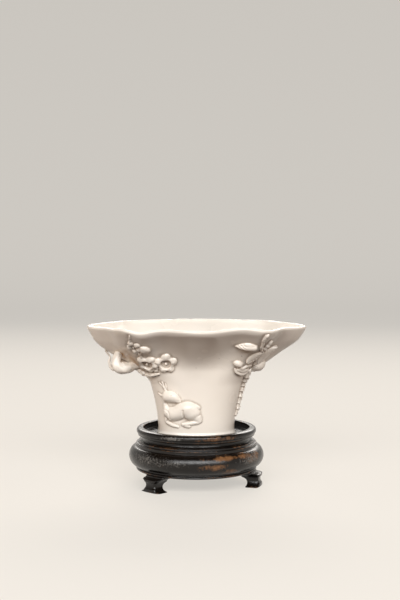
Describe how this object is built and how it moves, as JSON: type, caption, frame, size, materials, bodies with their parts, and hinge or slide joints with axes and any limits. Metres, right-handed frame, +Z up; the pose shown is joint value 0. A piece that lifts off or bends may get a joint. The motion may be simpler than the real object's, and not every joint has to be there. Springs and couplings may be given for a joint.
{
  "type": "libation cup",
  "caption": "White porcelain libation cup of horn form with flared lobed rim, applied prunus, magnolia, deer and crane reliefs, resting in a turned dark hardwood stand on bracket feet.",
  "frame": {"origin": "on the floor under the feet, below the middle of the cup's rim, which is also the axis of the round stand", "axes": "+Z up, +X along the cup's long axis towards the magnolia end, -Y towards the front that shows the deer"},
  "size_m": [0.1358, 0.0942, 0.1004],
  "materials": {
    "porcelain": "warm white porcelain under a thick clear glaze",
    "hardwood": "dark stained and polished hardwood, worn at the edges"
  },
  "bodies": {
    "stand": {"stand_dish": "hardwood", "stand_base": "hardwood", "stand_foot_1": "hardwood", "stand_foot_2": "hardwood", "stand_foot_3": "hardwood"},
    "cup": {"cup_body": "porcelain", "prunus_handle": "porcelain", "prunus_branch": "porcelain", "prunus_twigs": "porcelain", "prunus_blossom_1": "porcelain", "prunus_blossom_2": "porcelain", "prunus_blossom_3": "porcelain", "prunus_bud": "porcelain", "prunus_back_branch": "porcelain", "prunus_blossom_4": "porcelain", "prunus_blossom_5": "porcelain", "magnolia_trunk": "porcelain", "magnolia_branch": "porcelain", "magnolia_twigs": "porcelain", "magnolia_blossom": "porcelain", "magnolia_leaf_1": "porcelain", "magnolia_leaf_2": "porcelain", "magnolia_leaf_3": "porcelain", "magnolia_bud_1": "porcelain", "magnolia_bud_2": "porcelain", "deer": "porcelain", "crane": "porcelain"}
  },
  "joints": [
    {"name": "cup_lift", "type": "slide", "parent": "stand", "child": "cup", "axis": [0, 0, 1], "range_m": [0, 0.06]}
  ]
}
